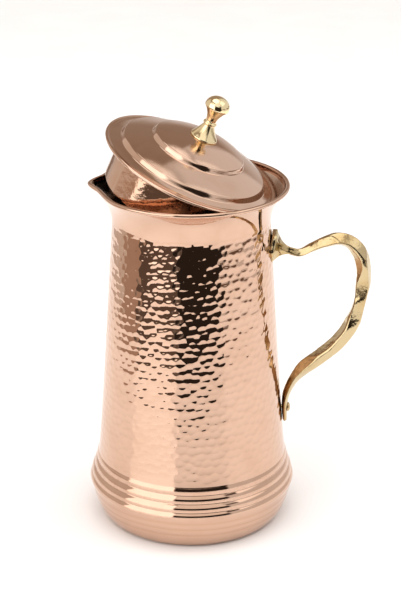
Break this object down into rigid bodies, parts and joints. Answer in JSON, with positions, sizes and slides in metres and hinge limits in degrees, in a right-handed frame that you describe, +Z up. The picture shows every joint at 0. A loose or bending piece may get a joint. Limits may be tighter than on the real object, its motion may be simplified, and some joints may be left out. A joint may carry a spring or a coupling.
{
  "type": "copper water jug",
  "caption": "Hammered copper water jug with a ridged base, flared mouth, pinched pouring lip, cast brass side handle and a loose stepped lid with a brass knob.",
  "frame": {"origin": "centre of the standing ring, on the plane the jug stands on", "axes": "+Z up along the jug's axis, -X towards the pouring lip, +X towards the handle"},
  "size_m": [0.1799, 0.1332, 0.2819],
  "materials": {
    "hammered_copper": "polished copper, hammered on the wall",
    "polished_copper": "polished copper, smooth",
    "cast_brass": "cast and polished, uneven",
    "polished_brass": "turned and polished",
    "screw_steel": "plain",
    "solder": "dull grey"
  },
  "bodies": {
    "jug": {"body_shell": "hammered_copper", "handle": "cast_brass", "handle_screw": "screw_steel", "handle_washer": "cast_brass", "tail_rivet": "cast_brass", "tail_burr": "polished_copper"},
    "lid": {"lid_dome": "polished_copper", "lid_collar": "polished_copper", "collar_solder": "solder", "knob": "polished_brass", "knob_screw": "screw_steel", "knob_washer": "polished_brass"}
  },
  "joints": [
    {"name": "lid_lift", "type": "slide", "parent": "jug", "child": "lid", "axis": [0, 0, 1], "range_m": [0, 0.12]}
  ]
}
